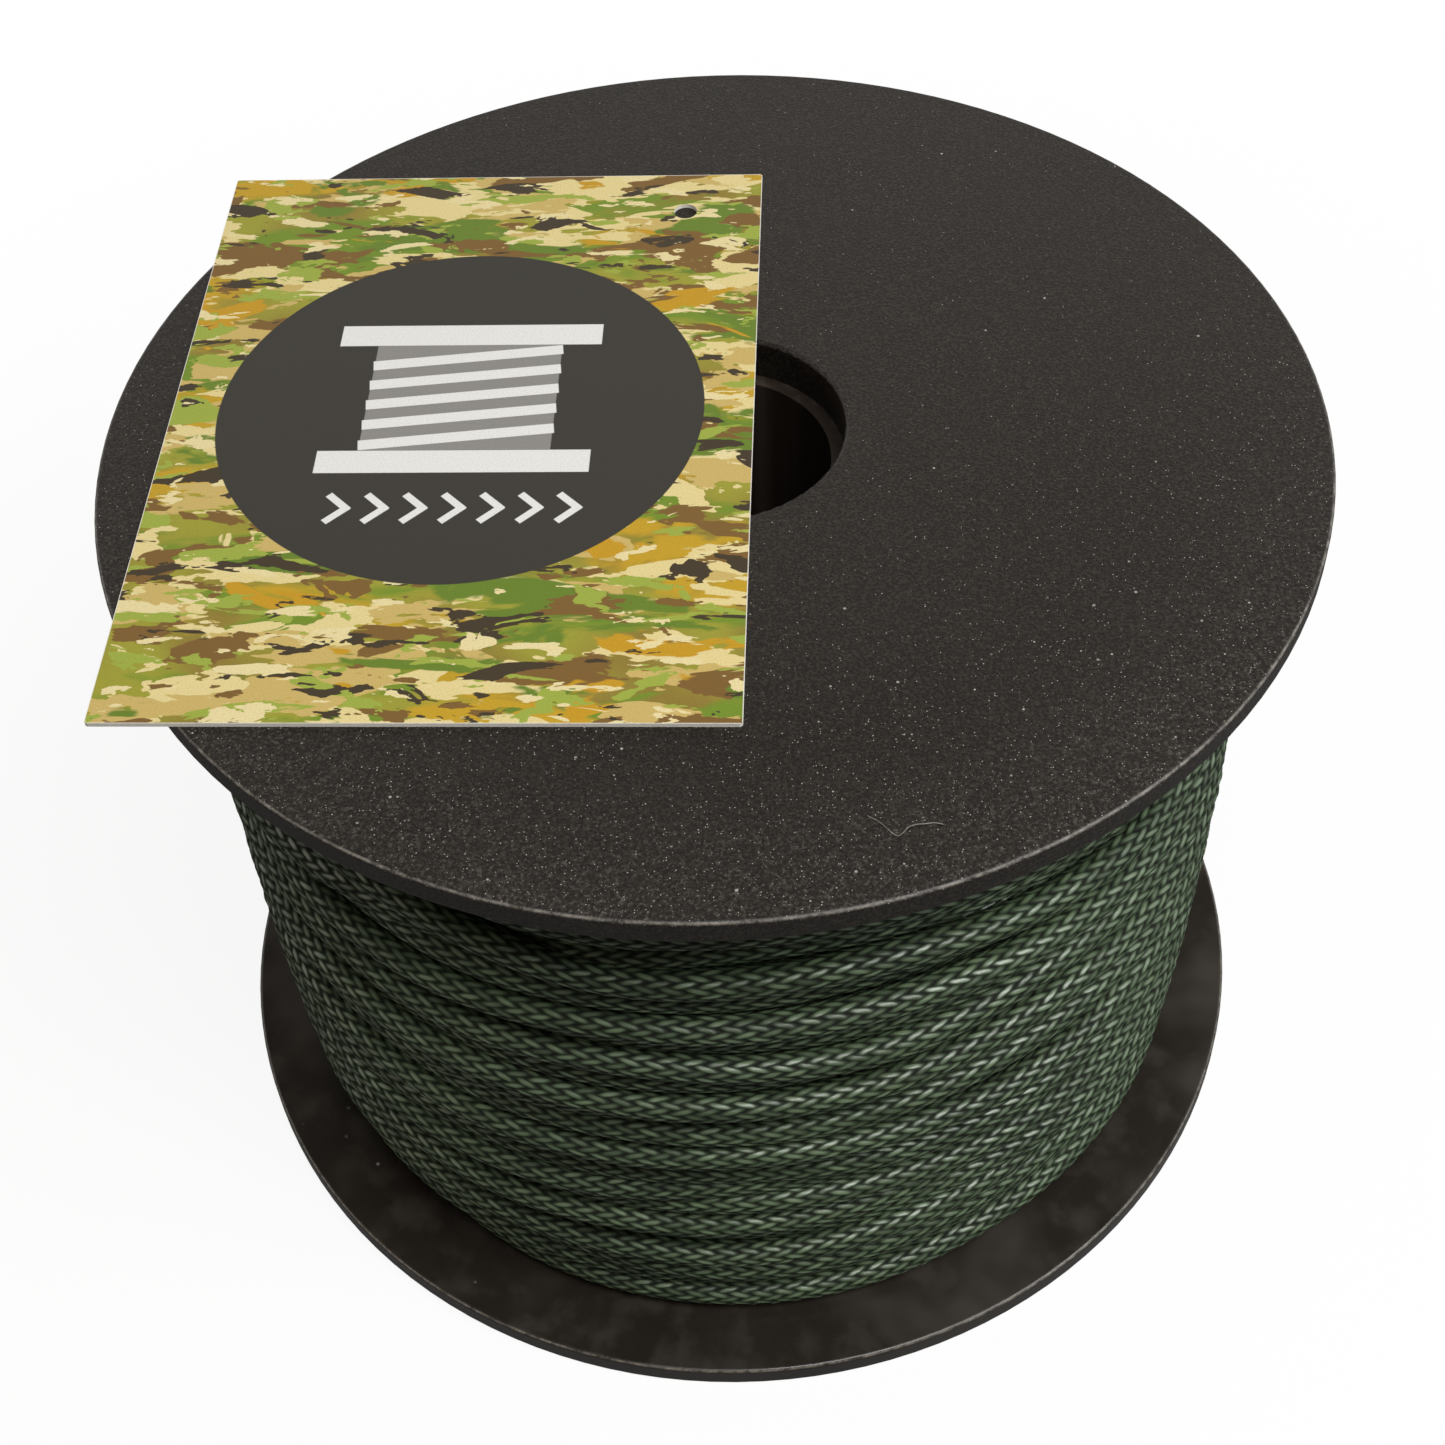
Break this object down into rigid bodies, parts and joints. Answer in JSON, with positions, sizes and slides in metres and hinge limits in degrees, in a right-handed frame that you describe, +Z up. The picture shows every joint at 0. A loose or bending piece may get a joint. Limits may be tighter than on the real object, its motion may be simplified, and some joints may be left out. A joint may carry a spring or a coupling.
{
  "type": "spool of braided cord",
  "caption": "Flanged plastic reel full of braided cord, with a printed hang card lying loose on its upper flange.",
  "frame": {"origin": "centre of the lower flange's outer face, on the reel's axis, where the reel stands", "axes": "+Z up along the reel's axis, -Y towards the front, +X to the right"},
  "size_m": [0.13, 0.13, 0.0937],
  "materials": {
    "lower_flange": "moulded black plastic, smooth and half gloss on its inner face",
    "upper_flange": "moulded black plastic with a fine matt texture",
    "barrel": "moulded black plastic",
    "arbor_tube": "plain extruded black plastic",
    "cord": "dark green braided synthetic cord with a soft sheen",
    "card": "smooth coated card, printed in mottled greens, tan and brown"
  },
  "bodies": {
    "reel": {"lower_flange": "lower_flange", "upper_flange": "upper_flange", "barrel": "barrel", "arbor_tube": "arbor_tube", "cord_inner_end": "cord", "cord_inner_layers": "cord", "cord_outer_layer": "cord"},
    "card": {"hang_card": "card"}
  },
  "joints": [
    {"name": "card_lift", "type": "slide", "parent": "reel", "child": "card", "axis": [0, 0, 1], "range_m": [0, 0.06]}
  ]
}
